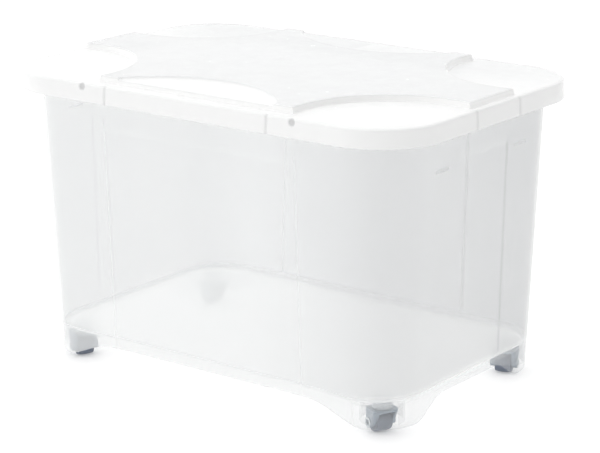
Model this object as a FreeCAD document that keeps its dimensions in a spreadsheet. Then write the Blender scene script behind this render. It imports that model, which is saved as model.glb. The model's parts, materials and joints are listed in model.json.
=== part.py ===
import FreeCAD, Part
import math
import os
import Sketcher
from FreeCAD import Placement, Rotation, Vector

# A rolling storage box: a drafted tub with a lift-off lid, standing on four swivel castors.
# The origin is on the ground at the middle of the box. X runs along the long side, Z is up.

DRIVING_SIZES = {
    # lid
    "lid_half_length": 293.0,
    "lid_half_width": 196.0,
    "lid_corner_radius": 80.0,
    "lid_level": 364.0,
    "lid_wall": 2.0,
    "skirt_height": 22.0,
    "skirt_flare": 2.0,
    "panel_rise": 8.0,
    "panel_margin_side": 19.0,
    "panel_margin_end": 10.0,
    "land_offset": 36.0,
    "land_radius": 118.0,
    # tub
    "rim_level": 361.8,
    "rim_wall": 2.4,
    "rim_half_length": 288.0,
    "rim_half_width": 191.0,
    "rim_radius": 75.0,
    "lip_drop": 15.0,
    "lip_wall": 2.0,
    "mouth_half_length": 274.6,
    "mouth_half_width": 177.5,
    "mouth_radius": 68.5,
    "base_half_length": 259.5,
    "base_half_width": 162.4,
    "base_radius": 57.0,
    "tub_wall": 2.4,
    "floor_level": 40.0,
    "floor_wall": 2.4,
    "skirt_level": 32.5,
    "lobe_level": 9.5,
    "lobe_start_side": 148.0,
    "lobe_start_end": 58.0,
    "lobe_run": 48.0,
    # castor places
    "castor_x": 227.5,
    "castor_y": 128.5,
    "boss_radius": 13.5,
    "socket_radius": 11.0,
    "socket_level": 38.6,
    "boss_level": 29.4,
    # castor pieces
    "bush_radius": 10.95,
    "bush_top": 38.5,
    "bush_bore_top": 37.2,
    "bush_bore_radius": 4.05,
    "stem_radius": 4.0,
    "stem_bottom": 25.8,
    "stem_top": 36.8,
    "collar_radius": 6.5,
    "collar_top": 29.2,
    "fork_top": 28.6,
    "fork_roof": 25.7,
    "fork_bore_radius": 4.02,
    "fork_top_half_length": 15.6,
    "fork_top_half_width": 14.0,
    "fork_top_radius": 6.0,
    "fork_low_level": 11.0,
    "fork_low_half_length": 15.4,
    "fork_low_half_width": 8.0,
    "fork_low_radius": 3.5,
    "slot_half_width": 10.2,
    "hub_half_length": 16.4,
    "hub_radius": 6.2,
    "recess_radius": 2.7,
    "recess_depth": 2.2,
    "trail": 4.0,
    "axle_radius": 1.75,
    "axle_bore_radius": 1.77,
    "axle_half_length": 13.4,
    "roller_radius": 12.5,
    "roller_edge_radius": 11.5,
    "roller_half_width": 9.6,
    "roller_bore_radius": 1.83,
}

# Corner name: direction along X, direction along Y, resting swivel angle in degrees.
CORNERS = {
    "front_right": (1, -1, 65.0),
    "front_left": (-1, -1, 240.0),
    "rear_right": (1, 1, 200.0),
    "rear_left": (-1, 1, 80.0),
}

doc = FreeCAD.newDocument("rolling_box")
sheet = doc.addObject("Spreadsheet::Sheet", "Sheet")
for row, (alias, number) in enumerate(DRIVING_SIZES.items(), start=1):
    sheet.set(f"A{row}", alias)
    sheet.set(f"B{row}", str(number))
    sheet.setAlias(f"B{row}", alias)
doc.recompute()


def value(expression):
    """Worth of a sum or difference of sheet aliases, such as 'lid_level - lid_wall'."""
    total = 0.0
    sign = 1.0
    for word in expression.split():
        if word in "+-":
            sign = -1.0 if word == "-" else 1.0
        else:
            total += sign * DRIVING_SIZES[word]
    return total


def bind(thing, setting, expression):
    """Tie a property to the sheet."""
    words = [word if word in "+-" else "Sheet." + word for word in expression.split()]
    thing.setExpression(setting, " ".join(words))


def new_body(label):
    body = doc.addObject("PartDesign::Body", label)
    body.Label = label
    return body


def new_sketch(body, name, role, level=None):
    """Sketch on one of the body's own origin planes, raised along its normal to a level."""
    sketch = body.newObject("Sketcher::SketchObject", name)
    plane = [item for item in body.Origin.OriginFeatures if item.Role == role][0]
    sketch.AttachmentSupport = [(plane, "")]
    sketch.MapMode = "FlatFace"
    if level:
        bind(sketch, "AttachmentOffset.Base.z", level)
    return sketch


def size_rule(sketch, kind, *places, expression):
    """Dimension of a sketch between geometry places, bound to an expression of the sheet."""
    index = sketch.addConstraint(Sketcher.Constraint(kind, *places, value(expression)))
    bind(sketch, f"Constraints[{index}]", expression)


def place_point(sketch, geometry, point, x_sign, x_expression, y_sign, y_expression):
    """Fix a point of the sketch at signed distances from the origin."""
    rules = (("DistanceX", x_sign, x_expression), ("DistanceY", y_sign, y_expression))
    for kind, sign, expression in rules:
        places = (-1, 1, geometry, point) if sign > 0 else (geometry, point, -1, 1)
        size_rule(sketch, kind, *places, expression=expression)


def rounded_rectangle(sketch, half_x, half_y, radius):
    """Four sides and four tangent corner arcs about the sketch's origin."""
    a, b, r = value(half_x), value(half_y), value(radius)
    first = sketch.GeometryCount
    sides = [
        ((r - a, -b), (a - r, -b)),
        ((a, r - b), (a, b - r)),
        ((a - r, b), (r - a, b)),
        ((-a, b - r), (-a, r - b)),
    ]
    for (x0, y0), (x1, y1) in sides:
        sketch.addGeometry(Part.LineSegment(Vector(x0, y0, 0), Vector(x1, y1, 0)), False)
    centres = [(a - r, r - b), (a - r, b - r), (r - a, b - r), (r - a, r - b)]
    for turn, (x, y) in enumerate(centres):
        start = math.radians(90.0 * turn - 90.0)
        circle = Part.Circle(Vector(x, y, 0), Vector(0, 0, 1), r)
        sketch.addGeometry(Part.ArcOfCircle(circle, start, start + math.pi / 2), False)
    for turn in range(4):
        side, arc, following = first + turn, first + 4 + turn, first + (turn + 1) % 4
        sketch.addConstraint(Sketcher.Constraint("Tangent", side, 2, arc, 1))
        sketch.addConstraint(Sketcher.Constraint("Tangent", arc, 2, following, 1))
        sketch.addConstraint(Sketcher.Constraint("Vertical" if turn % 2 else "Horizontal", side))
        if turn:
            sketch.addConstraint(Sketcher.Constraint("Equal", first + 4, arc))
    size_rule(sketch, "Radius", first + 4, expression=radius)
    size_rule(sketch, "DistanceY", first, 1, -1, 1, expression=half_y)
    size_rule(sketch, "DistanceX", -1, 1, first + 1, 1, expression=half_x)
    size_rule(sketch, "DistanceY", -1, 1, first + 2, 1, expression=half_y)
    size_rule(sketch, "DistanceX", first + 3, 1, -1, 1, expression=half_x)


def circle(sketch, radius, x_sign=1, x=None, y_sign=1, y=None):
    """Circle of a sheet radius, at the origin or at signed sheet distances from it."""
    centre = Vector(x_sign * value(x) if x else 0, y_sign * value(y) if y else 0, 0)
    index = sketch.addGeometry(Part.Circle(centre, Vector(0, 0, 1), value(radius)), False)
    size_rule(sketch, "Radius", index, expression=radius)
    if x:
        place_point(sketch, index, 3, x_sign, x, y_sign, y)
    else:
        sketch.addConstraint(Sketcher.Constraint("Coincident", index, 3, -1, 1))


def polygon(sketch, corners):
    """Closed outline of corners (x sign, x expression, y sign, y expression).

    A sign of nought puts the corner on that axis.
    """
    points = [Vector(sx * value(x) if sx else 0, sy * value(y) if sy else 0, 0) for sx, x, sy, y in corners]
    first = sketch.GeometryCount
    for start, end in zip(points, points[1:] + points[:1]):
        sketch.addGeometry(Part.LineSegment(start, end), False)
    for index, (sx, x, sy, y) in enumerate(corners):
        here, following = first + index, first + (index + 1) % len(corners)
        sketch.addConstraint(Sketcher.Constraint("Coincident", here, 2, following, 1))
        if sx and sy:
            place_point(sketch, here, 1, sx, x, sy, y)
        elif sx:
            sketch.addConstraint(Sketcher.Constraint("PointOnObject", here, 1, -1))
            size_rule(sketch, "DistanceX", *((-1, 1, here, 1) if sx > 0 else (here, 1, -1, 1)), expression=x)
        elif sy:
            sketch.addConstraint(Sketcher.Constraint("PointOnObject", here, 1, -2))
            size_rule(sketch, "DistanceY", *((-1, 1, here, 1) if sy > 0 else (here, 1, -1, 1)), expression=y)
        else:
            sketch.addConstraint(Sketcher.Constraint("Coincident", here, 1, -1, 1))


def raised(body, kind, name, sketch, length, reverse=False):
    """Pad or pocket of a sheet length."""
    feature = body.newObject("PartDesign::" + kind, name)
    feature.Profile = sketch
    feature.Type = "Length"
    feature.Reversed = reverse
    bind(feature, "Length", length)
    return feature


def cut_through(body, name, sketch):
    """Pocket that passes through the whole piece, both ways from the sketch's plane."""
    feature = body.newObject("PartDesign::Pocket", name)
    feature.Profile = sketch
    feature.Type = "ThroughAll"
    feature.Midplane = True
    return feature


def lofted(body, kind, name, low, high):
    """Straight loft between two sketches."""
    feature = body.newObject("PartDesign::" + kind, name)
    feature.Profile = low
    feature.Sections = [high]
    feature.Ruled = True
    return feature


def drafted_block(body, kind, name, low, high):
    """Loft between two rounded rectangles, each given as (level, half length, half width, radius)."""
    sketches = []
    for end, (level, half_x, half_y, radius) in (("low", low), ("high", high)):
        sketch = new_sketch(body, f"{name}_{end}", "XY_Plane", level)
        rounded_rectangle(sketch, half_x, half_y, radius)
        sketches.append(sketch)
    return lofted(body, kind, name, *sketches)


def skirt_gap(body, name, role, lobe_start):
    """Opening in the skirt between two corner lobes, cut right across the box."""
    sketch = new_sketch(body, name + "_outline", role)
    run_end = lobe_start + " + lobe_run"
    outline = [
        (-1, run_end, 0, None),
        (1, run_end, 0, None),
        (1, run_end, 1, "lobe_level"),
        (1, lobe_start, 1, "skirt_level"),
        (-1, lobe_start, 1, "skirt_level"),
        (-1, run_end, 1, "lobe_level"),
    ]
    polygon(sketch, outline)
    return cut_through(body, name, sketch)


def build_tub():
    """Drafted walls, floor, rim with a turned-down lip, corner lobes and castor bosses."""
    body = new_body("tub")
    low = ("lobe_level", "base_half_length", "base_half_width", "base_radius")
    high = ("rim_level", "mouth_half_length", "mouth_half_width", "mouth_radius")
    drafted_block(body, "AdditiveLoft", "walls", low, high)

    flange = new_sketch(body, "flange_outline", "XY_Plane", "rim_level - rim_wall")
    rounded_rectangle(flange, "rim_half_length", "rim_half_width", "rim_radius")
    raised(body, "Pad", "flange", flange, "rim_wall")
    lip = new_sketch(body, "lip_outline", "XY_Plane", "rim_level - lip_drop")
    rounded_rectangle(lip, "rim_half_length", "rim_half_width", "rim_radius")
    rounded_rectangle(lip, "rim_half_length - lip_wall", "rim_half_width - lip_wall", "rim_radius - lip_wall")
    raised(body, "Pad", "lip", lip, "lip_drop")

    inner_low = [low[0]] + [expression + " - tub_wall" for expression in low[1:]]
    inner_high = [high[0]] + [expression + " - tub_wall" for expression in high[1:]]
    drafted_block(body, "SubtractiveLoft", "hollow", inner_low, inner_high)
    skirt_gap(body, "side_gap", "XZ_Plane", "lobe_start_side")
    skirt_gap(body, "end_gap", "YZ_Plane", "lobe_start_end")

    floor = new_sketch(body, "floor_outline", "XY_Plane", "floor_level - floor_wall")
    rounded_rectangle(floor, "base_half_length", "base_half_width", "base_radius")
    raised(body, "Pad", "floor", floor, "floor_wall")
    bosses = new_sketch(body, "boss_outline", "XY_Plane", "boss_level")
    sockets = new_sketch(body, "socket_outline", "XY_Plane", "boss_level")
    for x_sign, y_sign, _ in CORNERS.values():
        circle(bosses, "boss_radius", x_sign, "castor_x", y_sign, "castor_y")
        circle(sockets, "socket_radius", x_sign, "castor_x", y_sign, "castor_y")
    raised(body, "Pad", "bosses", bosses, "floor_level - boss_level")
    raised(body, "Pocket", "sockets", sockets, "socket_level - boss_level", reverse=True)
    return body


def panel_outline(sketch, inward):
    """Rectangle with a round bite at each corner, drawn a wall's thickness further in when asked."""
    side = "lid_half_width - panel_margin_side" + inward
    end = "lid_half_length - panel_margin_end" + inward
    radius = "land_radius" + inward.replace("-", "+")
    x = "lid_half_length - land_offset"
    y = "lid_half_width - land_offset"
    reach_x = value(x) - math.sqrt(value(radius) ** 2 - (value(side) - value(y)) ** 2)
    reach_y = value(y) - math.sqrt(value(radius) ** 2 - (value(end) - value(x)) ** 2)
    a, b = value(end), value(side)
    lines = [
        ((-reach_x, -b), (reach_x, -b)),
        ((a, -reach_y), (a, reach_y)),
        ((reach_x, b), (-reach_x, b)),
        ((-a, reach_y), (-a, -reach_y)),
    ]
    for (x0, y0), (x1, y1) in lines:
        sketch.addGeometry(Part.LineSegment(Vector(x0, y0, 0), Vector(x1, y1, 0)), False)
    signs = [(1, -1), (1, 1), (-1, 1), (-1, -1)]
    for turn, (sx, sy) in enumerate(signs):
        centre = Vector(sx * value(x), sy * value(y), 0)
        start = Vector(*lines[turn][1], 0) - centre
        end_point = Vector(*lines[(turn + 1) % 4][0], 0) - centre
        bite = Part.Circle(centre, Vector(0, 0, 1), value(radius))
        low, high = math.atan2(end_point.y, end_point.x), math.atan2(start.y, start.x)
        sketch.addGeometry(Part.ArcOfCircle(bite, low, high if high > low else high + 2 * math.pi), False)
    for turn, (sx, sy) in enumerate(signs):
        sketch.addConstraint(Sketcher.Constraint("Coincident", turn, 2, 4 + turn, 2))
        sketch.addConstraint(Sketcher.Constraint("Coincident", 4 + turn, 1, (turn + 1) % 4, 1))
        sketch.addConstraint(Sketcher.Constraint("Vertical" if turn % 2 else "Horizontal", turn))
        place_point(sketch, 4 + turn, 3, sx, x, sy, y)
        size_rule(sketch, "Radius", 4 + turn, expression=radius)
    size_rule(sketch, "DistanceY", 0, 1, -1, 1, expression=side)
    size_rule(sketch, "DistanceX", -1, 1, 1, 1, expression=end)
    size_rule(sketch, "DistanceY", -1, 1, 2, 1, expression=side)
    size_rule(sketch, "DistanceX", 3, 1, -1, 1, expression=end)


def build_lid():
    """Plate with a turned-down flared skirt and a raised centre panel, all one wall thick."""
    body = new_body("lid")
    top = ("lid_level", "lid_half_length", "lid_half_width", "lid_corner_radius")
    hem = ["lid_level - skirt_height"] + [expression + " + skirt_flare" for expression in top[1:]]
    drafted_block(body, "AdditiveLoft", "cap", hem, top)
    inner_top = [expression + " - lid_wall" for expression in top]
    inner_hem = [hem[0]] + [expression + " - lid_wall" for expression in hem[1:]]
    drafted_block(body, "SubtractiveLoft", "underside", inner_hem, inner_top)

    panel = new_sketch(body, "panel_outline", "XY_Plane", "lid_level - lid_wall")
    panel_outline(panel, "")
    raised(body, "Pad", "panel", panel, "lid_wall + panel_rise")
    under = new_sketch(body, "panel_under_outline", "XY_Plane", "lid_level - lid_wall")
    panel_outline(under, " - lid_wall")
    raised(body, "Pocket", "panel_hollow", under, "panel_rise", reverse=True)
    return body


def half_profile(body, name, corners):
    """Revolve an outline of (radius, level) corners about the piece's upright axis."""
    sketch = new_sketch(body, name + "_outline", "XZ_Plane")
    polygon(sketch, [(1 if radius else 0, radius, 1, level) for radius, level in corners])
    feature = body.newObject("PartDesign::Revolution", name)
    feature.Profile = sketch
    feature.ReferenceAxis = (sketch, ["V_Axis"])
    feature.Angle = 360.0
    return feature


def build_bush(label):
    """Sleeve with a blind bore for the stem."""
    body = new_body(label)
    outline = [
        ("bush_bore_radius", "boss_level"),
        ("bush_radius", "boss_level"),
        ("bush_radius", "bush_top"),
        (None, "bush_top"),
        (None, "bush_bore_top"),
        ("bush_bore_radius", "bush_bore_top"),
    ]
    half_profile(body, "sleeve", outline)
    return body


def build_stem(label):
    """Swivel pin with a thrust collar above the fork."""
    body = new_body(label)
    outline = [
        (None, "stem_bottom"),
        ("stem_radius", "stem_bottom"),
        ("stem_radius", "fork_top"),
        ("collar_radius", "fork_top"),
        ("collar_radius", "collar_top"),
        ("stem_radius", "collar_top"),
        ("stem_radius", "stem_top"),
        (None, "stem_top"),
    ]
    half_profile(body, "pin", outline)
    return body


def hub_sketch(body, name, radius, level=None):
    """Circle on the axle's line, seen along the axle."""
    sketch = new_sketch(body, name, "YZ_Plane", level)
    circle(sketch, radius, 1, "trail", 1, "roller_radius")
    return sketch


def build_fork(label):
    """Yoke over the roller, with a round hub on each side and a hole for the stem."""
    body = new_body(label)
    low = ("fork_low_level", "fork_low_half_length", "fork_low_half_width", "fork_low_radius")
    high = ("fork_top", "fork_top_half_length", "fork_top_half_width", "fork_top_radius")
    loft = drafted_block(body, "AdditiveLoft", "yoke", low, high)
    bind(loft.Profile[0], "AttachmentOffset.Base.y", "trail")
    hubs = hub_sketch(body, "hub_outline", "hub_radius")
    hub_pad = raised(body, "Pad", "hubs", hubs, "hub_half_length + hub_half_length")
    hub_pad.Midplane = True
    slot = new_sketch(body, "slot_outline", "XZ_Plane")
    outline = [
        (-1, "slot_half_width", 0, None),
        (1, "slot_half_width", 0, None),
        (1, "slot_half_width", 1, "fork_roof"),
        (-1, "slot_half_width", 1, "fork_roof"),
    ]
    polygon(slot, outline)
    cut_through(body, "slot", slot)
    axle_hole = hub_sketch(body, "axle_hole_outline", "axle_bore_radius")
    cut_through(body, "axle_hole", axle_hole)
    for side, reverse in (("right", False), ("left", True)):
        recess = new_sketch(body, f"recess_{side}_outline", "YZ_Plane")
        circle(recess, "recess_radius", 1, "trail", 1, "roller_radius")
        reach = value("hub_half_length - recess_depth")
        recess.AttachmentOffset = Placement(Vector(0, 0, -reach if reverse else reach), Rotation())
        raised(body, "Pocket", f"recess_{side}", recess, "recess_depth + recess_depth", reverse=not reverse)
    stem_hole = new_sketch(body, "stem_hole_outline", "XY_Plane")
    circle(stem_hole, "fork_bore_radius")
    cut_through(body, "stem_hole", stem_hole)
    return body


def build_axle(label):
    """Plain pin along the axle's line."""
    body = new_body(label)
    sketch = hub_sketch(body, "axle_outline", "axle_radius")
    pin = raised(body, "Pad", "axle_pin", sketch, "axle_half_length + axle_half_length")
    pin.Midplane = True
    return body


def build_roller(label):
    """Barrel-shaped wheel turned about the axle's line: highest at its middle, lower at its ends."""
    body = new_body(label)
    sketch = new_sketch(body, "barrel_outline", "XY_Plane", "roller_radius")
    half = value("roller_half_width")
    edge = value("roller_edge_radius")
    bore = value("roller_bore_radius")
    middle = value("trail")
    crown = Vector(0, middle + value("roller_radius"), 0)
    points = [
        Vector(-half, middle + bore, 0),
        Vector(half, middle + bore, 0),
        Vector(half, middle + edge, 0),
        Vector(-half, middle + edge, 0),
    ]
    sketch.addGeometry(Part.LineSegment(points[0], points[1]), False)
    sketch.addGeometry(Part.LineSegment(points[1], points[2]), False)
    sketch.addGeometry(Part.Arc(points[2], crown, points[3]), False)
    sketch.addGeometry(Part.LineSegment(points[3], points[0]), False)
    axis = sketch.addGeometry(Part.LineSegment(Vector(-half, middle, 0), Vector(half, middle, 0)), True)
    for here, following in ((0, 1), (3, 0)):
        sketch.addConstraint(Sketcher.Constraint("Coincident", here, 2, following, 1))
    sketch.addConstraint(Sketcher.Constraint("Coincident", 1, 2, 2, 1))
    sketch.addConstraint(Sketcher.Constraint("Coincident", 2, 2, 3, 1))
    place_point(sketch, 0, 1, -1, "roller_half_width", 1, "trail + roller_bore_radius")
    place_point(sketch, 0, 2, 1, "roller_half_width", 1, "trail + roller_bore_radius")
    place_point(sketch, 1, 2, 1, "roller_half_width", 1, "trail + roller_edge_radius")
    place_point(sketch, 3, 1, -1, "roller_half_width", 1, "trail + roller_edge_radius")
    place_point(sketch, axis, 1, -1, "roller_half_width", 1, "trail")
    place_point(sketch, axis, 2, 1, "roller_half_width", 1, "trail")
    feature = body.newObject("PartDesign::Revolution", "barrel")
    feature.Profile = sketch
    feature.ReferenceAxis = (sketch, ["Axis0"])
    feature.Angle = 360.0
    return body


def settle(body, x_sign, y_sign, angle):
    """Stand a castor's piece under its corner, turned to its resting angle."""
    spot = Vector(x_sign * value("castor_x"), y_sign * value("castor_y"), 0)
    body.Placement = Placement(spot, Rotation(Vector(0, 0, 1), angle))
    for letter, sign in (("x", x_sign), ("y", y_sign)):
        minus = "-" if sign < 0 else ""
        body.setExpression(f"Placement.Base.{letter}", f"{minus}Sheet.castor_{letter}")


bodies = [build_tub(), build_lid()]
CASTOR_PIECES = {
    "socket_bush": build_bush,
    "stem": build_stem,
    "fork": build_fork,
    "axle": build_axle,
    "roller": build_roller,
}
for corner, (x_sign, y_sign, angle) in CORNERS.items():
    for piece, build in CASTOR_PIECES.items():
        body = build(f"{corner}_{piece}")
        settle(body, x_sign, y_sign, angle)
        bodies.append(body)
doc.recompute()

for thing in doc.Objects:
    troubles = [state for state in thing.State if state in ("Invalid", "Error")]
    if troubles:
        raise RuntimeError(f"{thing.Label} is {troubles}")
for body in bodies:
    if body.Shape.isNull() or not body.Shape.isValid() or len(body.Shape.Solids) != 1:
        raise RuntimeError(f"{body.Label} has no sound solid")

os.makedirs("parts", exist_ok=True)
for body in bodies:
    body.Shape.exportStep(f"parts/{body.Label}.step")
    box = body.Shape.BoundBox
    volume = body.Shape.Volume / 1000
    print(f"{body.Label:28s} {volume:9.2f} cm3, z {box.ZMin:7.2f} to {box.ZMax:7.2f} mm")
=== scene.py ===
"""A rolling storage box of clear polypropylene: a drafted tub with a turned-down rim, a loose lid
with a raised panel, and four swivelling castors under its corners.

The CAD model is loaded as a fixed frame. The tub and the lid are remade here as smooth thin shells
with their moulded details, and the castors get their finishes and small parts. All lengths are in
metres, and the object stands on the floor with the centre of its base at the origin.
"""

import json

import bmesh
import bpy
import numpy as np
from bpy.props import FloatProperty, FloatVectorProperty, PointerProperty
from bpy.types import Operator, Panel, PropertyGroup
from mathutils import Matrix, Vector


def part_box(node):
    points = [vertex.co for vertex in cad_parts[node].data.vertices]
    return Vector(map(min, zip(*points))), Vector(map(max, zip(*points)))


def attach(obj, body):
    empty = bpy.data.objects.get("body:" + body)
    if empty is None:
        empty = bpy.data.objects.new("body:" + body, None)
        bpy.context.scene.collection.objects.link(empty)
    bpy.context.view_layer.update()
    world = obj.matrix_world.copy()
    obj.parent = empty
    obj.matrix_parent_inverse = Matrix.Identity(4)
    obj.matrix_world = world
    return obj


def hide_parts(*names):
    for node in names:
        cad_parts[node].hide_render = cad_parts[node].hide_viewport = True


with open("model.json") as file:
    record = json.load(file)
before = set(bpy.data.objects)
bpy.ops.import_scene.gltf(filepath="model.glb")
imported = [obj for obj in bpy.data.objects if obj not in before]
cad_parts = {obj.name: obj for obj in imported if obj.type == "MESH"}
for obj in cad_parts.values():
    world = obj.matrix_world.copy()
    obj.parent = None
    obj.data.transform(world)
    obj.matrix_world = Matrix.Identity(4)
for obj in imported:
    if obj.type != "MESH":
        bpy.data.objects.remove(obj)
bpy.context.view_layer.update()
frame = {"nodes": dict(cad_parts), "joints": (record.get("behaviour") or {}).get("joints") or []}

bl_info = {
    "name": "Rolling storage box",
    "version": (1, 0, 0),
    "blender": (4, 5, 0),
    "location": "View3D > Sidebar > Storage box",
    "description": "Builds a clear storage box with a lid and castors around its CAD frame",
    "category": "Add Mesh",
}

CORNERS = ("front_right", "front_left", "rear_right", "rear_left")


# ---- settings


def number(description, default, **limits):
    """A property for a number."""
    return FloatProperty(description=description, default=default, **limits)


def length(description, default):
    """A property for a length in metres."""
    return number(description, default, unit="LENGTH", precision=4)


def part_of_one(description, default):
    """A property for a share between nought and one."""
    return number(description, default, min=0.0, max=1.0, subtype="FACTOR")


def colour(description, default):
    """A property for a colour."""
    return FloatVectorProperty(
        description=description, default=default, subtype="COLOR", size=3, min=0.0, max=1.0
    )


class TubSizes(PropertyGroup):
    """Sizes of the tub."""

    rim_level: length("Height of the rim's flat top", 0.3618)
    rim_half_length: length("Middle to the lip's outside, along X", 0.288)
    rim_half_width: length("Middle to the lip's outside, along Y", 0.191)
    rim_radius: length("Corner radius of the lip", 0.075)
    lip_drop: length("Height of the turned-down lip", 0.015)
    lip_wall: length("Thickness of the rim and its lip", 0.002)
    mouth_half_length: length("Wall's outside at the rim, along X", 0.2746)
    mouth_half_width: length("Wall's outside at the rim, along Y", 0.1775)
    mouth_radius: length("Corner radius of the wall at the rim", 0.0685)
    base_half_length: length("Wall's outside at its foot, along X", 0.2595)
    base_half_width: length("Wall's outside at its foot, along Y", 0.1624)
    base_radius: length("Corner radius of the wall at its foot", 0.057)
    wall: length("Thickness of the walls and the floor", 0.0024)
    floor_level: length("Height of the inner floor", 0.040)
    skirt_level: length("Lower edge of the skirt between the corners", 0.0325)
    lobe_level: length("Lower edge of the skirt at the corners", 0.0095)
    recess_depth: length("How far the middle of each wall is set back", 0.0011)
    recess_top: length("Height of the upper end of the set-back panels", 0.3065)
    recess_side: length("Half length of the set-back panel on the long walls", 0.140)


class LidSizes(PropertyGroup):
    """Sizes of the lid."""

    half_length: length("Middle to the fold, along X", 0.293)
    half_width: length("Middle to the fold, along Y", 0.196)
    corner: length("Corner radius of the fold", 0.080)
    level: length("Height of the flat border", 0.364)
    wall: length("Thickness of the lid", 0.002)
    skirt: length("Height of the skirt below the border", 0.022)
    flare: length("How far the skirt leans out at its lower edge", 0.002)
    rise: length("Height of the raised panel above the border", 0.008)
    margin_side: length("Fold to the panel's crest on the long sides", 0.019)
    margin_end: length("Fold to the panel's crest on the short sides", 0.010)
    land_offset: length("Lid corner to the middle of its round land, both ways", 0.036)
    land_radius: length("Radius of the round corner lands", 0.118)
    dish_half_length: length("Half the chord of each lens dish", 0.118)
    dish_width: length("Chord to the top of each lens dish's arc", 0.062)
    dish_depth: length("Depth of the lens dishes", 0.0024)


class CastorSizes(PropertyGroup):
    """Sizes of the castor housings."""

    housing_radius: length("Outside of the round housing wall", 0.0259)
    housing_wall: length("Thickness of the round housing wall", 0.0022)
    housing_level: length("Lower edge of the round housing wall", 0.0145)
    boss_radius: length("Outside of the boss around the bush", 0.0135)
    socket_radius: length("Bore of the boss", 0.0110)
    boss_level: length("Lower end of the boss", 0.0294)
    hub_reach: length("Middle of the roller to the outside of each hub", 0.0164)
    ring_radius: length("Outside of the raised ring on each hub", 0.0058)
    ring_width: length("Width of the raised ring", 0.0019)
    ring_height: length("How far the ring stands out", 0.0004)
    edge_round: length("Radius on the yoke's edges", 0.0006)


class Finishes(PropertyGroup):
    """Colours and clearness of the mouldings."""

    tub_colour: colour("Haze of the clear tub", (0.640, 0.655, 0.662))
    tub_haze: part_of_one("How much each face of the tub hides", 0.20)
    lid_colour: colour("Haze of the milky lid", (0.71, 0.715, 0.72))
    lid_haze: part_of_one("How much each face of the lid hides", 0.62)
    castor_colour: colour("Slate blue nylon", (0.200, 0.250, 0.305))
    hub_colour: colour("Paler slate of the hub rings", (0.60, 0.64, 0.66))
    roller_colour: colour("Dark blue tread", (0.105, 0.128, 0.175))
    bush_colour: colour("Grey nylon", (0.46, 0.49, 0.52))
    steel_colour: colour("Plated steel pins", (0.60, 0.61, 0.63))
    floor_colour: colour("Plain studio floor", (0.70, 0.70, 0.70))
    floor_glow: part_of_one("Light that the backlit floor gives out", 0.30)


class StageSettings(PropertyGroup):
    """The camera and the lights."""

    focal_length: number("Camera lens in millimetres", 138.3)
    key_power: number("Power of the soft key light", 3.0, unit="POWER")
    top_power: number("Power of the overhead light", 5.0, unit="POWER")
    surround: number("Strength of the white surround", 1.05)
    surround_swing: number("How much brighter the surround is at the left", 0.40)


# ---- outlines and shells


SHARP = 0.6  # edges that bend by more than this many radians stay sharp


def ease(value, start, end):
    """Nought before start, one after end, and 3t^2 - 2t^3 between them."""
    t = np.clip((value - start) / (end - start), 0.0, 1.0)
    return t * t * (3.0 - 2.0 * t)


def band(value, start, end, edge):
    """One between start and end, falling to nought over edge outside them."""
    return ease(value, start - edge, start) * (1.0 - ease(value, end, end + edge))


def spaced(*runs):
    """Distances in runs of (start, stop, step)."""
    return np.concatenate([np.arange(*run) for run in runs])


def full_round(quarter):
    """Stations right round an outline, from those of its first quarter, 0 to 3.

    Odd quarters run backwards, so that every corner has the same stations mirrored.
    """
    quarter = np.unique(np.round(np.asarray(quarter, dtype=float), 7))
    back = 6.0 - quarter[::-1]
    half = np.concatenate([quarter[quarter < 3.0], back[back < 6.0]])
    return np.concatenate([half, half + 6.0])


def quarter_of(stations):
    """The place within the mirrored quarter, and the signs of X and Y there."""
    turn = np.floor(stations / 3.0).astype(int)
    local = stations - 3.0 * turn
    local = np.where(turn % 2 == 1, 3.0 - local, local)
    sign_x = np.where((turn == 0) | (turn == 1), 1.0, -1.0)
    sign_y = np.where((turn == 0) | (turn == 3), -1.0, 1.0)
    return local, sign_x, sign_y


def rounded_outline(half_length, half_width, radius, stations):
    """Points and outward directions of a rounded rectangle.

    In each quarter, stations 0 to 1 run along the long side, 1 to 2 round the corner's arc and
    2 to 3 along the short side.
    """
    local, sign_x, sign_y = quarter_of(stations)
    angle = np.clip(local - 1.0, 0.0, 1.0) * np.pi / 2.0
    along = np.clip(local, 0.0, 1.0) * (half_length - radius)
    back = np.clip(local - 2.0, 0.0, 1.0) * (half_width - radius)
    out_x = np.sin(angle)
    out_y = np.cos(angle)
    x = along + radius * out_x
    y = (half_width - radius) + radius * out_y - back
    return np.stack([x * sign_x, y * sign_y], 1), np.stack([out_x * sign_x, out_y * sign_y], 1)


def smoothed(mesh, material):
    """Gives a mesh one finish and smooth faces, and keeps its sharp edges."""
    mesh.materials.clear()
    mesh.materials.append(material)
    mesh.polygons.foreach_set("use_smooth", np.ones(len(mesh.polygons), dtype=bool))
    mesh.set_sharp_from_angle(angle=SHARP)


def new_piece(name, points, faces, body, material, layers=None):
    """A mesh object that rides on a body; layers are named values kept at its points."""
    mesh = bpy.data.meshes.new(name)
    mesh.from_pydata(points.tolist(), [], faces)
    mesh.update()
    smoothed(mesh, material)
    for layer, values in (layers or {}).items():
        attribute = mesh.attributes.new(layer, "FLOAT", "POINT")
        attribute.data.foreach_set("value", np.ascontiguousarray(values, dtype=np.float32))
    piece = bpy.data.objects.new(name, mesh)
    bpy.context.scene.collection.objects.link(piece)
    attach(piece, body)
    return piece


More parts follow.
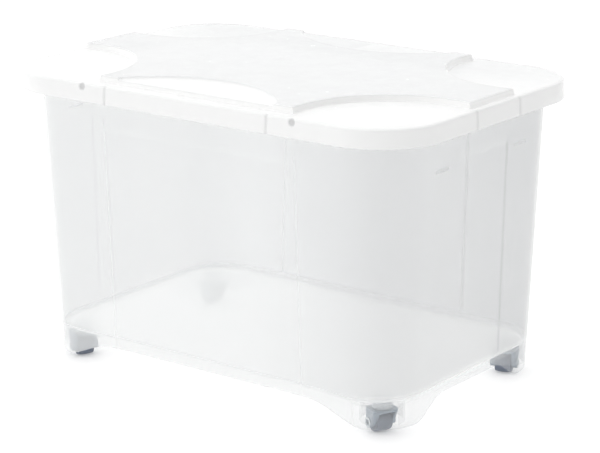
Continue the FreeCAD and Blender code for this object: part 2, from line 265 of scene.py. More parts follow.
class Skin:
    """The closed rows of a shell's points, each with its frost and its shade."""

    def __init__(self):
        self.rows = []

    def add(self, points, level, milk, dark=0.0):
        """Adds a row: its plan, and a height, frost and shade for the whole row or each point."""
        row = [np.broadcast_to(value, (len(points),)) for value in (level, milk, dark)]
        self.rows.append(np.column_stack([points, *row]))

    def values(self):
        """Points and layers, with a middle point for each end of the skin."""
        ends = [[[0.0, 0.0, row[0, 2], row[0, 3], 0.0]] for row in (self.rows[0], self.rows[-1])]
        table = np.concatenate(self.rows + ends)
        return table[:, :3], {"frost": table[:, 3], "shade": table[:, 4]}

    def faces(self, flip):
        """Quads between the rows, and fans of triangles to the two middle points."""
        columns = len(self.rows[0])
        count = len(self.rows) * columns
        index = np.arange(count).reshape(-1, columns)
        right = np.roll(index, -1, 1)
        quads = np.stack([index[:-1], right[:-1], right[1:], index[1:]], -1).reshape(-1, 4)
        first = np.stack([np.full(columns, count), right[0], index[0]], 1)
        last = np.stack([np.full(columns, count + 1), index[-1], right[-1]], 1)
        faces = quads.tolist() + first.tolist() + last.tolist()
        return [face[::-1] for face in faces] if flip else faces


# ---- materials


LIGHT_FILM = 0.14  # share of a clear moulding's film that the light's own rays meet
PAINTED_SHADE_COLOUR = (0.22, 0.22, 0.23)  # colour of the painted shade in a clear moulding's deepest creases
THICK = {"tub": (0.93, 0.935, 0.93), "lid": (0.90, 0.90, 0.895)}  # colours of the thick plastic
DUST = (0.62, 0.62, 0.60)


class Sheet:
    """A node tree, with short ways of adding to it."""

    def __init__(self, tree):
        self.tree = tree

    def feed(self, socket, value):
        """Links a socket to another one, or sets it to a plain value."""
        if isinstance(value, bpy.types.NodeSocket):
            self.tree.links.new(value, socket)
        else:
            socket.default_value = value

    def fill(self, made, **inputs):
        """Feeds some of a node's inputs, named with underscores for spaces."""
        for name, value in inputs.items():
            self.feed(made.inputs[name.replace("_", " ")], value)

    def node(self, kind, **inputs):
        """A node, placed by its turn, with some of its inputs fed."""
        count = len(self.tree.nodes)
        made = self.tree.nodes.new(kind)
        made.location = (200 * (count % 9) - 2000, -320 * (count // 9))
        self.fill(made, **inputs)
        return made

    def maths(self, operation, first, second, clamp=False):
        """What a Math node makes of two sockets or plain numbers."""
        made = self.node("ShaderNodeMath")
        made.operation = operation
        made.use_clamp = clamp
        self.feed(made.inputs[0], first)
        self.feed(made.inputs[1], second)
        return made.outputs[0]

    def times(self, first, second, clamp=False):
        """A product."""
        return self.maths("MULTIPLY", first, second, clamp)

    def plus(self, first, second, clamp=False):
        """A sum."""
        return self.maths("ADD", first, second, clamp)

    def mixed(self, factor, first, second, blend="MIX"):
        """A mix of two colours, each a socket or three plain numbers."""
        made = self.node("ShaderNodeMix")
        made.data_type = "RGBA"
        made.blend_type = blend
        self.feed(made.inputs["Factor"], factor)
        for name, value in (("A", first), ("B", second)):
            self.feed(made.inputs[name], (*value, 1.0) if isinstance(value, tuple) else value)
        return made.outputs["Result"]

    def noise(self, vector, scale, detail=3.0, roughness=0.5):
        """A noise texture's value on a vector."""
        made = self.node("ShaderNodeTexNoise",
                         Vector=vector, Scale=scale, Detail=detail, Roughness=roughness)
        return made.outputs["Fac"]

    def stretched(self, vector, scale):
        """A vector scaled differently along X, Y and Z."""
        return self.node("ShaderNodeMapping", Vector=vector, Scale=scale).outputs["Vector"]

    def remapped(self, value, **ends):
        """A value whose range, From_Min to From_Max, is made to run from To_Min to To_Max."""
        return self.node("ShaderNodeMapRange", Value=value, **ends).outputs["Result"]

    def kept(self, layer):
        """The value that a mesh keeps at its points in a layer."""
        made = self.node("ShaderNodeAttribute")
        made.attribute_name = layer
        return made.outputs["Fac"]

    def own_place(self):
        """The object's own coordinates."""
        return self.node("ShaderNodeTexCoord").outputs["Object"]

    def placed(self, group, **inputs):
        """What a node group makes of the object's own coordinates."""
        made = self.node("ShaderNodeGroup")
        made.node_tree = group
        self.fill(made, Vector=self.own_place(), **inputs)
        return made.outputs

    def bumped(self, shader, height, strength, distance):
        """Feeds a height to the shader's normal."""
        bump = self.node("ShaderNodeBump", Strength=strength, Distance=distance, Height=height)
        self.fill(shader, Normal=bump.outputs["Normal"])


def new_group(name, numbers, outputs):
    """An empty shader node group. A vector and some numbers go in, and numbers come out."""
    tree = bpy.data.node_groups.new(name, "ShaderNodeTree")
    tree.interface.new_socket("Vector", in_out="INPUT", socket_type="NodeSocketVector")
    for title in numbers:
        socket = tree.interface.new_socket(title, in_out="INPUT", socket_type="NodeSocketFloat")
        socket.default_value = 1.0
    for title in outputs:
        tree.interface.new_socket(title, in_out="OUTPUT", socket_type="NodeSocketFloat")
    sheet = Sheet(tree)
    return sheet, sheet.node("NodeGroupInput").outputs, sheet.node("NodeGroupOutput")


def moulding_group():
    """Haze and surface of a thin clear moulding.

    Haze varies with slow clouds and with flow marks drawn out along Z; Grain is a height of fine
    spark-eroded texture with slow ripples; Rough is a share for the gloss.
    """
    name = "Moulded polypropylene"
    if name in bpy.data.node_groups:
        return bpy.data.node_groups[name]
    t, entry, leave = new_group(name, ("Flow", "Grain"), ("Haze", "Grain", "Rough"))
    vector = entry["Vector"]
    clouds = t.times(t.noise(vector, 9.0), 0.6)
    flow = t.times(t.noise(t.stretched(vector, (30.0, 30.0, 2.5)), 1.0, 4.0, 0.6), 0.4)
    swing = t.times(t.maths("SUBTRACT", t.plus(clouds, flow), 0.5), entry["Flow"])
    fine = t.times(t.noise(vector, 1400.0, 2.0), entry["Grain"])
    ripple = t.times(t.noise(vector, 26.0, 2.0), 2.0)
    scuff = t.noise(t.stretched(vector, (60.0, 60.0, 12.0)), 1.0, 5.0, 0.7)
    t.fill(leave, Haze=t.plus(swing, 1.0), Grain=t.plus(fine, ripple),
           Rough=t.remapped(scuff, To_Min=0.12, To_Max=0.34))
    return t.tree


def wear_group():
    """Handling wear and dust of small parts.

    Scuffs are sharp speckles; Dust gathers in slow clouds on what faces up; Shade is a mottle
    round one for the colour; Grain is a height of fine texture.
    """
    name = "Wear and dust"
    if name in bpy.data.node_groups:
        return bpy.data.node_groups[name]
    t, entry, leave = new_group(name, ("Scale",), ("Scuffs", "Dust", "Shade", "Grain"))
    scaled = t.node("ShaderNodeVectorMath")
    scaled.operation = "SCALE"
    t.feed(scaled.inputs[0], entry["Vector"])
    t.feed(scaled.inputs["Scale"], entry["Scale"])
    vector = scaled.outputs[0]
    scuffs = t.remapped(t.noise(vector, 240.0, 5.0, 0.65), From_Min=0.58, From_Max=0.70)
    split = t.node("ShaderNodeSeparateXYZ")
    t.feed(split.inputs[0], t.node("ShaderNodeNewGeometry").outputs["Normal"])
    up = t.plus(t.maths("MAXIMUM", split.outputs["Z"], 0.0), 0.35)
    mottle = t.remapped(t.noise(vector, 90.0, 4.0), To_Min=0.82, To_Max=1.18)
    t.fill(leave, Scuffs=scuffs, Dust=t.times(up, t.noise(vector, 60.0), clamp=True),
           Shade=mottle, Grain=t.noise(vector, 1800.0, 2.0))
    return t.tree


def principled(name):
    """A new material, its sheet and its Principled shader."""
    material = bpy.data.materials.new(name)
    material.use_nodes = True
    return material, Sheet(material.node_tree), material.node_tree.nodes["Principled BSDF"]


def clear_moulding(name, haze_colour, haze, thick_colour):
    """Clear polypropylene as a milky film over what lies behind it.

    Alpha is the haze times the moulding's clouds and flow marks, and rises towards one with the
    frost kept at the mesh's points, where the wall is thick, rounded or etched, and where a
    highlight is painted along an edge, a step or a crest. The colour goes from the haze's to the
    thick plastic's by the same frost. It is darkened towards a grey by the painted shade kept
    there, in grooves, creases and dimples and towards the tub's +X end; that shade also makes
    the film more opaque. The light's own rays meet a thinner film than the camera's,
    because the haze of such a plastic scatters most of its light onwards.
    """
    if name in bpy.data.materials:
        return bpy.data.materials[name]
    material, t, shader = principled(name)
    surface = t.placed(moulding_group(), Flow=0.22, Grain=0.5)
    frost = t.kept("frost")
    shade = t.kept("shade")
    film = t.times(surface["Haze"], haze)
    milky = t.times(t.maths("SUBTRACT", 1.0, film), frost)
    alpha = t.plus(film, t.plus(milky, t.times(shade, 0.3)), clamp=True)
    rays = t.node("ShaderNodeLightPath").outputs["Is Camera Ray"]
    passed = t.plus(t.times(rays, 1.0 - LIGHT_FILM), LIGHT_FILM)
    tint = t.mixed(t.times(frost, 1.6, clamp=True), haze_colour, thick_colour)
    t.fill(shader, Alpha=t.times(alpha, passed), Base_Color=t.mixed(shade, tint, PAINTED_SHADE_COLOUR),
           Roughness=surface["Rough"], IOR=1.49)
    t.bumped(shader, surface["Grain"], 0.07, 0.0004)
    return material


def worn_moulding(name, base_colour, worn_colour, roughness, grain, metallic=0.0):
    """A solid part's finish: a mottled colour with pale scuffs and dust, and a fine grain."""
    if name in bpy.data.materials:
        return bpy.data.materials[name]
    material, t, shader = principled(name)
    wear = t.placed(wear_group())
    mottled = t.mixed(1.0, tuple(base_colour), wear["Shade"], "MULTIPLY")
    scuffed = t.mixed(t.times(wear["Scuffs"], 0.35), mottled, worn_colour)
    dusty = t.mixed(t.times(wear["Dust"], 0.22), scuffed, DUST)
    dull = t.plus(roughness, t.times(wear["Dust"], 0.25))
    t.fill(shader, Base_Color=dusty, Roughness=dull, Metallic=metallic)
    t.bumped(shader, wear["Grain"], grain, 0.0002)
    return material


def box_material(part, name):
    """The finish of the tub or the lid."""
    f = bpy.context.scene.box_finishes
    haze_colour = tuple(getattr(f, part + "_colour"))
    return clear_moulding(name, haze_colour, getattr(f, part + "_haze"), THICK[part])


# ---- the tub


END_PANEL = 0.060  # half width of a short wall's set-back panel, at the foot of the wall
END_TAPER = 0.009  # how much narrower that panel is at the rim
FLOOR_SHARES = (0.12, 0.3, 0.5, 0.68, 0.82, 0.92)  # rows of the floor, from its middle outwards
FLOOR_FILLET = 0.007  # radius between the floor and the walls
FLOOR_MILK = 0.62  # frost of the floor, on its upper face
UNDER_MILK = 0.15  # frost of the floor's underside
FOLD_MILK_AND_HIGHLIGHT = 0.12  # frost of the rim's lip, and of the skirt's lower edge: partly the thick rounded plastic, partly a painted highlight
STEP_HIGHLIGHT_MILK = 0.40  # painted highlight: frost along the edges of the long walls' set-back panels


class TubForm:
    """The tub's rings: where each point of the wall stands for a height and a push outwards."""

    def __init__(self, sizes):
        self.sizes = sizes
        side = spaced((0.0, 0.130, 0.0065), (0.130, 0.146, 0.001), (0.146, 0.202, 0.004))
        end = spaced((0.0, 0.046, 0.006), (0.046, 0.064, 0.0015), (0.064, 0.105, 0.003))
        corner = np.linspace(1.0, 2.0, 28)
        self.stations = full_round(np.concatenate([side / 0.2025, corner, 3.0 - end / 0.1054]))
        self.local, self.sign_x, self.sign_y = quarter_of(self.stations)
        self.on_long = self.local < 1.5  # as against the short walls

    def share(self, level):
        """Height as a share of the way from the foot of the walls to the rim."""
        s = self.sizes
        return (level - s.lobe_level) / (s.rim_level - s.lobe_level)

    def plan(self, part):
        """Plan and outward directions of the tub's base, mouth or rim."""
        names = ("_half_length", "_half_width", "_radius")
        return rounded_outline(*(getattr(self.sizes, part + n) for n in names), self.stations)

    def outline(self, level, push):
        """Plan of the outer wall, moved outwards by push, at one height or one for each point."""
        share = np.asarray(self.share(level)).reshape(-1, 1)
        foot, out = self.plan("base")
        mouth, _ = self.plan("mouth")
        return foot + (mouth - foot) * share + out * np.asarray(push).reshape(-1, 1)

    def across(self, level):
        """Distance from the middle of the wall along it, and half the set-back panel's width."""
        points = np.abs(self.outline(level, 0.0))
        end_edge = END_PANEL - END_TAPER * self.share(level)
        return (
            np.where(self.on_long, points[:, 0], points[:, 1]),
            np.where(self.on_long, self.sizes.recess_side, end_edge),
        )

    def relief(self, level):
        """The wall's relief at a height: set-back middles and a short rib at each end."""
        s = self.sizes
        across, edge = self.across(level)
        inside = 1.0 - ease(across, edge - 0.0009, edge + 0.0009)
        below = 1.0 - ease(level, s.recess_top - 0.002, s.recess_top)
        return -s.recess_depth * inside * below + 0.0008 * self.rib(level)

    def rib(self, level):
        """One on the short level ribs of the end walls, nought elsewhere."""
        across = np.abs(self.outline(level, 0.0)[:, 1])
        on_end = band(across, 0.069, 0.091, 0.0015) * (self.local > 1.9)
        return on_end * band(level, 0.2995, 0.3015, 0.001)

    def step_lines(self, level):
        """How near each point is to the edge of a set-back panel, on long and on short walls: masks
        for a painted highlight on the long walls and painted shade on the short ones.
        """
        s = self.sizes
        across, edge = self.across(level)
        below = 1.0 - ease(level, s.recess_top, s.recess_top + 0.002)
        reach = np.where(self.on_long, 0.0011, 0.0013)
        line = np.exp(-(((across - edge) / reach) ** 2))
        return line * self.on_long * below, line * ~self.on_long * below

    def skirt_edge(self):
        """Height of the skirt's lower edge: level, with a smooth lobe at each corner."""
        s = self.sizes
        straight = s.base_half_length - s.base_radius
        straight_end = s.base_half_width - s.base_radius
        turn = np.clip(self.local - 1.0, 0.0, 1.0) * np.pi / 2.0
        from_side = np.clip(self.local, 0.0, 1.0) * straight + s.base_radius * turn
        from_end = np.clip(3.0 - self.local, 0.0, 1.0) * straight_end
        from_end = from_end + s.base_radius * (np.pi / 2.0 - turn)
        on_side = ease(from_side, 0.148, 0.230)
        on_end = ease(from_end, 0.058, 0.106)
        lobe = np.where(self.on_long, on_side, on_end)
        return s.skirt_level - (s.skirt_level - s.lobe_level) * lobe


def tub_skin(form):
    """The tub's skin, from the middle of the floor outwards, up, over the rim, down and back."""
    s = form.sizes
    wall = s.wall
    skin = Skin()

    def add(level, push, milk, dark=0.0):
        skin.add(form.outline(level, push), level, milk, dark)

    floor_edge = form.outline(s.floor_level, -wall)
    for share in FLOOR_SHARES:
        skin.add(floor_edge * share, s.floor_level, FLOOR_MILK)
    for angle in np.radians((90.0, 67.5, 45.0, 22.5, 0.0)):
        inset = FLOOR_FILLET * (1.0 - np.cos(angle))
        rise = FLOOR_FILLET * (1.0 - np.sin(angle))
        add(s.floor_level + rise, -wall - inset, FLOOR_MILK * np.sin(angle))
    levels = np.concatenate([
        np.linspace(0.052, 0.292, 13),
        [0.2975, 0.2995, 0.3015, 0.3025, 0.3045, 0.3065, 0.320, 0.345],
    ])
    # painted shade: the tub grows darker towards its +X end, the side turned away from the brighter
    # light
    painted_end_shade = 0.46 * ease(form.outline(s.rim_level, 0.0)[:, 0], 0.03, 0.27)
    corner_milk = 0.035 * ease(1.0 - np.abs(form.local - 1.5) / 0.6, 0.0, 1.0)
    for level in levels:
        add(level, form.relief(level) - wall, corner_milk)

    # the rim: a rounded step out from the mouth, the flat top, the rounded fold and the lip
    top = s.rim_level
    foot = top - s.lip_drop
    back = top - s.lip_wall
    lip, lip_out = form.plan("rim")
    add(top - 0.0018, -wall, 0.08)
    add(top - 0.0005, -wall + 0.0006, 0.10)
    add(top, -wall + 0.0019, 0.10)
    skin.add(lip - lip_out * 0.0030, top, 0.10)
    for inset, level in (
        (0.0009, top - 0.0006), (0.0, top - 0.0022), (0.0, foot + 0.0006), (0.0004, foot),
        (s.lip_wall - 0.0004, foot), (s.lip_wall, foot + 0.0006), (s.lip_wall, back - 0.0012),
        (s.lip_wall + 0.0012, back),
    ):
        skin.add(lip - lip_out * inset, level, FOLD_MILK_AND_HIGHLIGHT)
    add(back, 0.0012, 0.10)
    add(back - 0.0015, 0.0, 0.08)
    for level in levels[::-1]:
        # painted highlight along the long walls' panel edges and on the end ribs; painted shade
        # along the short walls' panel edges
        long_step_highlight, short_step_shade = form.step_lines(level)
        milk = corner_milk + STEP_HIGHLIGHT_MILK * long_step_highlight + 0.3 * form.rib(level)
        add(level, form.relief(level), milk, 0.26 * short_step_shade + painted_end_shade)

    # the skirt follows its lower edge, and is hazier on the long sides and at three corners
    low = form.skirt_edge()
    near = (form.sign_x > 0.0) & (form.sign_y < 0.0)
    corner = ease(1.0 - np.abs(form.local - 1.5) / 0.7, 0.0, 1.0)
    veil = 0.36 * (1.0 - ease(form.local, 1.0, 2.0)) * (1.0 - corner * near)
    veil = veil + 0.14 * corner * ~near - 0.05
    for share in (0.86, 0.7, 0.55, 0.4, 0.25, 0.12, 0.03):
        level = low + (0.046 - low) * share
        add(level, form.relief(float(np.mean(level))), veil)
    relief = form.relief(0.03)
    add(low, relief - 0.0006, FOLD_MILK_AND_HIGHLIGHT)
    add(low, relief - wall + 0.0006, FOLD_MILK_AND_HIGHLIGHT)
    under = s.floor_level - wall
    for share in (0.05, 0.3, 0.6, 0.9):
        add(low + (under - 0.002 - low) * share, -wall + relief, -0.07)
    skin.add(form.outline(under - 0.0005, -wall - 0.0006), under - 0.0004, 0.0)
    under_edge = form.outline(under, -wall - 0.002)
    for share in (1.0, *FLOOR_SHARES[::-1]):
        skin.add(under_edge * share, under, UNDER_MILK)
    return skin


class BuildTub(Operator):
    """Builds the clear tub: drafted walls with set-back middles, floor, rim and lobed skirt"""

    bl_idname = "storagebox.build_tub"
    bl_label = "Build tub"

    def execute(self, context):
        skin = tub_skin(TubForm(context.scene.box_tub))
        points, layers = skin.values()
        tub = new_piece("tub_shell", points, skin.faces(True), "box",
                        box_material("tub", "Clear polypropylene"), layers)
        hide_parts("tub")
        return {"FINISHED"}


def sleeve(inner, outer, root, end, edge):
    """Profile of a sleeve from its root to its end, which has both edges cut back."""
    back = end + np.copysign(edge, root - end)
    return [(inner, root), (outer, root), (outer, back), (outer - edge, end),
            (inner + edge, end), (inner, back)]


def turned_wall(centre, profile, angles, closed):
    """A profile of (radius, height) points turned about a vertical line through centre.

    The profile is a closed loop. An open turn gets a flat end at each side.
    """
    profile = np.asarray(profile, dtype=float)
    radius = profile[:, 0][:, None]
    x = centre[0] + radius * np.cos(angles)[None, :]
    y = centre[1] + radius * np.sin(angles)[None, :]
    z = np.broadcast_to(profile[:, 1][:, None], x.shape)
    points = np.stack([x, y, z], -1).reshape(-1, 3)
    count, columns = x.shape
    index = np.arange(count * columns).reshape(count, columns)
    if closed:
        index = np.concatenate([index, index[:, :1]], 1)
    below = np.roll(index, -1, 0)
    quads = np.stack([index[:, :-1], index[:, 1:], below[:, 1:], below[:, :-1]], -1).reshape(-1, 4)
    ends = [] if closed else [index[:, 0].tolist(), index[::-1, -1].tolist()]
    return points, quads.tolist() + ends


def joined(shells):
    """Several (points, faces) shells as one, with their faces turned over."""
    points = []
    faces = []
    for shell_points, shell_faces in shells:
        start = sum(len(block) for block in points)
        points.append(shell_points)
        faces += [[start + corner for corner in face[::-1]] for face in shell_faces]
    return np.concatenate(points), faces


class BuildHousings(Operator):
    """Builds the round castor housings and the bosses that hold the bushes, under each corner"""

    bl_idname = "storagebox.build_housings"
    bl_label = "Build castor housings"

    def execute(self, context):
        tub = context.scene.box_tub
        s = context.scene.box_castors
        under = tub.floor_level - tub.wall
        outer = s.housing_radius
        wall = sleeve(outer - s.housing_wall, outer, under, s.housing_level, 0.0004)
        boss = sleeve(s.socket_radius, s.boss_radius, under, s.boss_level, 0.0005)
        full = np.linspace(0.0, 2.0 * np.pi, 64, endpoint=False)
        gap = np.radians(36.9)  # half of the housing's opening towards the corner
        for corner in CORNERS:
            low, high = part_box(corner + "_stem")
            centre = ((low.x + high.x) / 2.0, (low.y + high.y) / 2.0)
            outward = np.arctan2(np.sign(centre[1]) * 0.92, np.sign(centre[0]))
            arc = np.linspace(outward + gap, outward + 2.0 * np.pi - gap, 72)
            points, faces = joined([
                turned_wall(centre, wall, arc, False), turned_wall(centre, boss, full, True)
            ])
            layers = {"frost": np.full(len(points), -0.10)}
            new_piece(corner + "_housing", points, faces, "box",
                      box_material("tub", "Clear polypropylene"), layers)
        return {"FINISHED"}


# ---- the lid


PANEL_EDGE = 0.0045  # from the raised panel's crest to the rows of its flat top
CROWN = 0.0004  # how far the crown falls to the middle of each edge of the panel


class LidForm:
    """The lid's outlines, all on the same stations: the fold, the panel's crest and the dishes."""

    def __init__(self, sizes):
        self.sizes = sizes
        s = sizes
        self.land_x = s.half_length - s.land_offset
        self.land_y = s.half_width - s.land_offset
        self.crest_x = s.half_length - s.margin_end
        self.crest_y = s.half_width - s.margin_side
        reach_side = np.sqrt(s.land_radius ** 2 - (self.crest_y - self.land_y) ** 2)
        reach_end = np.sqrt(s.land_radius ** 2 - (self.crest_x - self.land_x) ** 2)
        self.side_end = self.land_x - reach_side
        self.end_end = self.land_y - reach_end
        self.run = (
            (s.half_length - s.corner - self.side_end)
            + s.corner * np.pi / 2.0
            + (s.half_width - s.corner - self.end_end)
        )
        side = spaced((0.0, 0.108, 0.0045), (0.108, 0.126, 0.001), (0.126, self.side_end, 0.003))
        around = spaced((0.0, 0.004, 0.002), (0.004, 0.022, 0.0009), (0.022, self.run, 0.0036))
        end = spaced((0.0, 0.040, 0.004), (0.040, self.end_end, 0.001))
        self.stations = full_round(np.concatenate(
            [side / self.side_end, 1.0 + around / self.run, 3.0 - end / self.end_end]
        ))
        self.local, self.sign_x, self.sign_y = quarter_of(self.stations)

    def fold_stations(self):
        """The same places as stations of the rounded rectangle, matched by length along it."""
        s = self.sizes
        straight = s.half_length - s.corner
        arc = s.corner * np.pi / 2.0
        straight_end = s.half_width - s.corner
        first = np.clip(self.local, 0.0, 1.0) * self.side_end
        middle = np.clip(self.local - 1.0, 0.0, 1.0) * self.run
        last = np.clip(self.local - 2.0, 0.0, 1.0) * self.end_end
        travel = first + middle + last
        past = travel - straight
        local = np.where(past < arc, 1.0 + past / arc, 2.0 + (past - arc) / straight_end)
        local = np.where(past < 0.0, travel / straight, local)
        turn = np.floor(self.stations / 3.0).astype(int)
        return np.where(turn % 2 == 1, 3.0 * turn + 3.0 - local, 3.0 * turn + local)

    def fold(self, inset):
        """Plan of the fold, moved inwards by inset, with outward directions."""
        s = self.sizes
        points, out = rounded_outline(s.half_length, s.half_width, s.corner, self.fold_stations())
        return points - out * np.asarray(inset).reshape(-1, 1), out

    def crest(self, inset):
        """Plan of the raised panel's edge: straight sides, with a round bite at each corner.

        inset moves it inwards, which makes the bites larger.
        """
        s = self.sizes
        radius = s.land_radius + inset
        y_side = self.crest_y - inset
        x_end = self.crest_x - inset
        up = y_side - self.land_y
        over = x_end - self.land_x
        start = np.arctan2(-up, -np.sqrt(radius ** 2 - up ** 2))
        finish = np.arctan2(np.sqrt(radius ** 2 - over ** 2), over)
        start = np.where(start < 0.0, start + 2.0 * np.pi, start)
        share = np.clip(self.local - 1.0, 0.0, 1.0)
        angle = start + (finish - start) * share
        arc_x = self.land_x + radius * np.cos(angle)
        arc_y = -self.land_y + radius * np.sin(angle)
        side_x = (self.land_x + radius * np.cos(start)) * np.clip(self.local, 0.0, 1.0)
        end_y = -(self.land_y - radius * np.sin(finish)) * np.clip(3.0 - self.local, 0.0, 1.0)
        x = np.where(self.local < 1.0, side_x, np.where(self.local > 2.0, x_end, arc_x))
        y = np.where(self.local < 1.0, -y_side, np.where(self.local > 2.0, end_y, arc_y))
        return np.stack([x * self.sign_x, -y * self.sign_y], 1)

    def dish_arc(self, across):
        """|Y| of a lens dish's arc at |X|."""
        s = self.sizes
        half = s.dish_half_length
        radius = (half ** 2 + s.dish_width ** 2) / (2.0 * s.dish_width)
        centre = self.crest_y - s.dish_width + radius
        span = np.clip(radius ** 2 - across ** 2, 0.0, None)
        return centre - np.sqrt(span)


def lid_skin(form, drop):
    """The lid's upper skin, from the panel's middle to the fold, lowered by drop.

    The panel is slightly crowned. Inside the arc of each lens dish it steps down by dish_depth.
    The crest is rounded, and its wall falls to the border over a short slope; it carries a painted
    highlight and thin lines of painted shade. The frost fades towards the back as painted light,
    so the front lands and dishes are lighter than the rear ones.
    """
    s = form.sizes
    top = s.level + s.rise
    skin = Skin()

    def add(points, level, milk, dark=0.0):
        skin.add(points, np.asarray(level) - drop, milk, dark)

    def crowned(points):
        """Height of the crowned panel: highest in the middle, by the squares of X and Y."""
        across = (points[:, 0] / form.crest_x) ** 2 + (points[:, 1] / form.crest_y) ** 2
        return top - CROWN * across

    crest = form.crest(0.0)
    on_side = form.local < 1.0
    # painted light: the frost, and with it the whiteness, of the border, lands and dishes fades
    # towards the back, more at the left, so that the front ones are painted lighter
    thin = 1.0 - (0.75 - 0.15 * form.sign_x) * ease(crest[:, 1], 0.0, 0.1)
    arc = form.dish_arc(np.abs(crest[:, 0]))
    margin = form.crest_y - PANEL_EDGE
    inner = form.crest(PANEL_EDGE)
    inner_y = np.where(on_side, np.minimum(arc, margin), np.abs(inner[:, 1]))
    inner = np.stack([np.where(on_side, crest[:, 0], inner[:, 0]), inner_y * form.sign_y], 1)
    in_dish = np.where(on_side, ease(margin - arc, 0.0, 0.004), 0.0)
    dish_milk = 0.40 * in_dish * thin
    for share in np.concatenate([np.linspace(0.08, 0.9, 13), [0.94, 0.97, 0.985]]):
        add(inner * share, crowned(inner * share), 0.0)
    shallow = s.dish_depth * in_dish
    start = crowned(crest)
    inner_level = crowned(inner)
    toward = crest - inner
    size = np.maximum(np.linalg.norm(toward, axis=1), 1e-6)
    gap = np.abs(crest[:, 1]) - inner_y

    def towards_crest(distance):
        """Points a distance out from the inner edge, towards the crest."""
        step = np.where(on_side, np.minimum(distance, gap * 0.45), distance * 0.3)
        return inner + toward * (step / size)[:, None]

    add(inner, inner_level, 0.0)
    add(towards_crest(0.0012), inner_level - 0.12 * shallow, 0.25 * dish_milk)
    add(towards_crest(0.0036), inner_level - 0.85 * shallow, dish_milk)
    base = towards_crest(0.0054)
    add(base, inner_level - shallow, dish_milk)
    edge_in = form.crest(0.0009)
    edge_in = np.stack([np.where(on_side, crest[:, 0], edge_in[:, 0]), edge_in[:, 1]], 1)
    for share in (0.15, 0.3, 0.45, 0.6, 0.75, 0.9, 1.0):
        level = inner_level + (start - inner_level) * share - shallow
        add(base + (edge_in - base) * share, level, dish_milk)
    crest_level = start - shallow
    fall = crest_level - s.level
    foot = form.crest(-0.0024)
    rim, _ = form.fold(0.0030)
    # the crest: a painted highlight in its whiter frost at the top and down the wall, and thin
    # lines of painted shade just below its top and at its foot
    for inset, level, milk, dark in (
        (0.0002, crest_level - 0.0003, 0.40, 0.0),
        (-0.0002, crest_level - 0.0011, 0.50, 0.06),
        (-0.0005, crest_level - 0.0022, 0.60, 0.0),
        (-0.0009, s.level + fall * 0.35, 0.60, 0.0),
        (-0.0014, s.level + 0.0007, 0.60, 0.0),
        (-0.0024, s.level, 0.40 * thin, 0.05),
    ):
        add(form.crest(inset), level, milk, dark)
    for share in (0.2, 0.4, 0.6, 0.8, 1.0):
        add(foot + (rim - foot) * share, s.level, 0.42 * thin)
    return skin


def skirt_marks(form, points, level):
    """Depth and painted shade of the marks on the skirt.

    A narrow groove stands at the ends of each dish and panel end, and a round dimple near each
    corner land, at the top of the long skirts.
    """
    x = np.abs(points[:, 0])
    y = np.abs(points[:, 1])
    on_long = form.local < 1.5
    groove = np.where(on_long, band(x, 0.1168, 0.1192, 0.0012), band(y, 0.0424, 0.0448, 0.0012))
    away = np.sqrt((x - 0.153) ** 2 + (level - 0.3595) ** 2)
    dimple = (1.0 - ease(away, 0.0034, 0.0050)) * on_long
    # the second value is painted shade in the grooves and dimples
    return 0.0008 * groove + 0.0013 * dimple, np.maximum(groove * 0.22, dimple * 0.45)


class BuildLid(Operator):
    """Builds the milky lid: crowned panel with lens dishes, round corner lands, border and skirt"""

    bl_idname = "storagebox.build_lid"
    bl_label = "Build lid"

    def execute(self, context):
        s = context.scene.box_lid
        form = LidForm(s)
        skin = lid_skin(form, 0.0)
        hem = s.level - s.skirt
        back = s.level - s.wall
        middle = band(np.abs(form.fold(0.0)[0][:, 0]), 0.0, 0.040, 0.004) * (form.local < 1.0)

        def add(inset, level, milk, marks=True):
            share = (s.level - level) / s.skirt
            plan, out = form.fold(inset - s.flare * share * 0.75)
            depth, dark = skirt_marks(form, plan, level) if marks else (0.0, 0.0)
            lip = 0.0005 * middle * ease(share, 0.78, 0.86) if marks else 0.0
            skin.add(plan - out * np.asarray(depth - lip).reshape(-1, 1), level, milk, dark)

        add(0.0017, s.level - 0.0003, 0.45)
        add(0.0006, s.level - 0.0011, 0.50)
        for level in np.linspace(s.level - 0.0022, hem + 0.0008, 15):
            add(0.0, level, 0.50)
        add(0.0005, hem, 0.30)
        add(s.wall - 0.0005, hem, 0.30, False)
        for level in np.linspace(hem + 0.0008, back - 0.0012, 5):
            add(s.wall, level, 0.12, False)
        add(s.wall + 0.0010, back - 0.0001, 0.12, False)
        skin.rows += lid_skin(form, s.wall).rows[::-1]
        points, layers = skin.values()
        top = s.level + s.rise
        points[-2:, 2] = (top, top - s.wall)
        lid = new_piece("lid_shell", points, skin.faces(False), "lid",
                        box_material("lid", "Milky polypropylene"), layers)
        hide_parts("lid")
        return {"FINISHED"}


# ---- the castors


def stood_on(points, place, axis):
    """Points about the Z axis, turned so that Z lies along a level axis, and moved to a place."""
    axis = np.asarray(axis, dtype=float)
    side = np.array([-axis[1], axis[0], 0.0])
    up = np.array([0.0, 0.0, 1.0])
    return np.asarray(place) + points[:, :1] * side + points[:, 1:2] * up + points[:, 2:] * axis


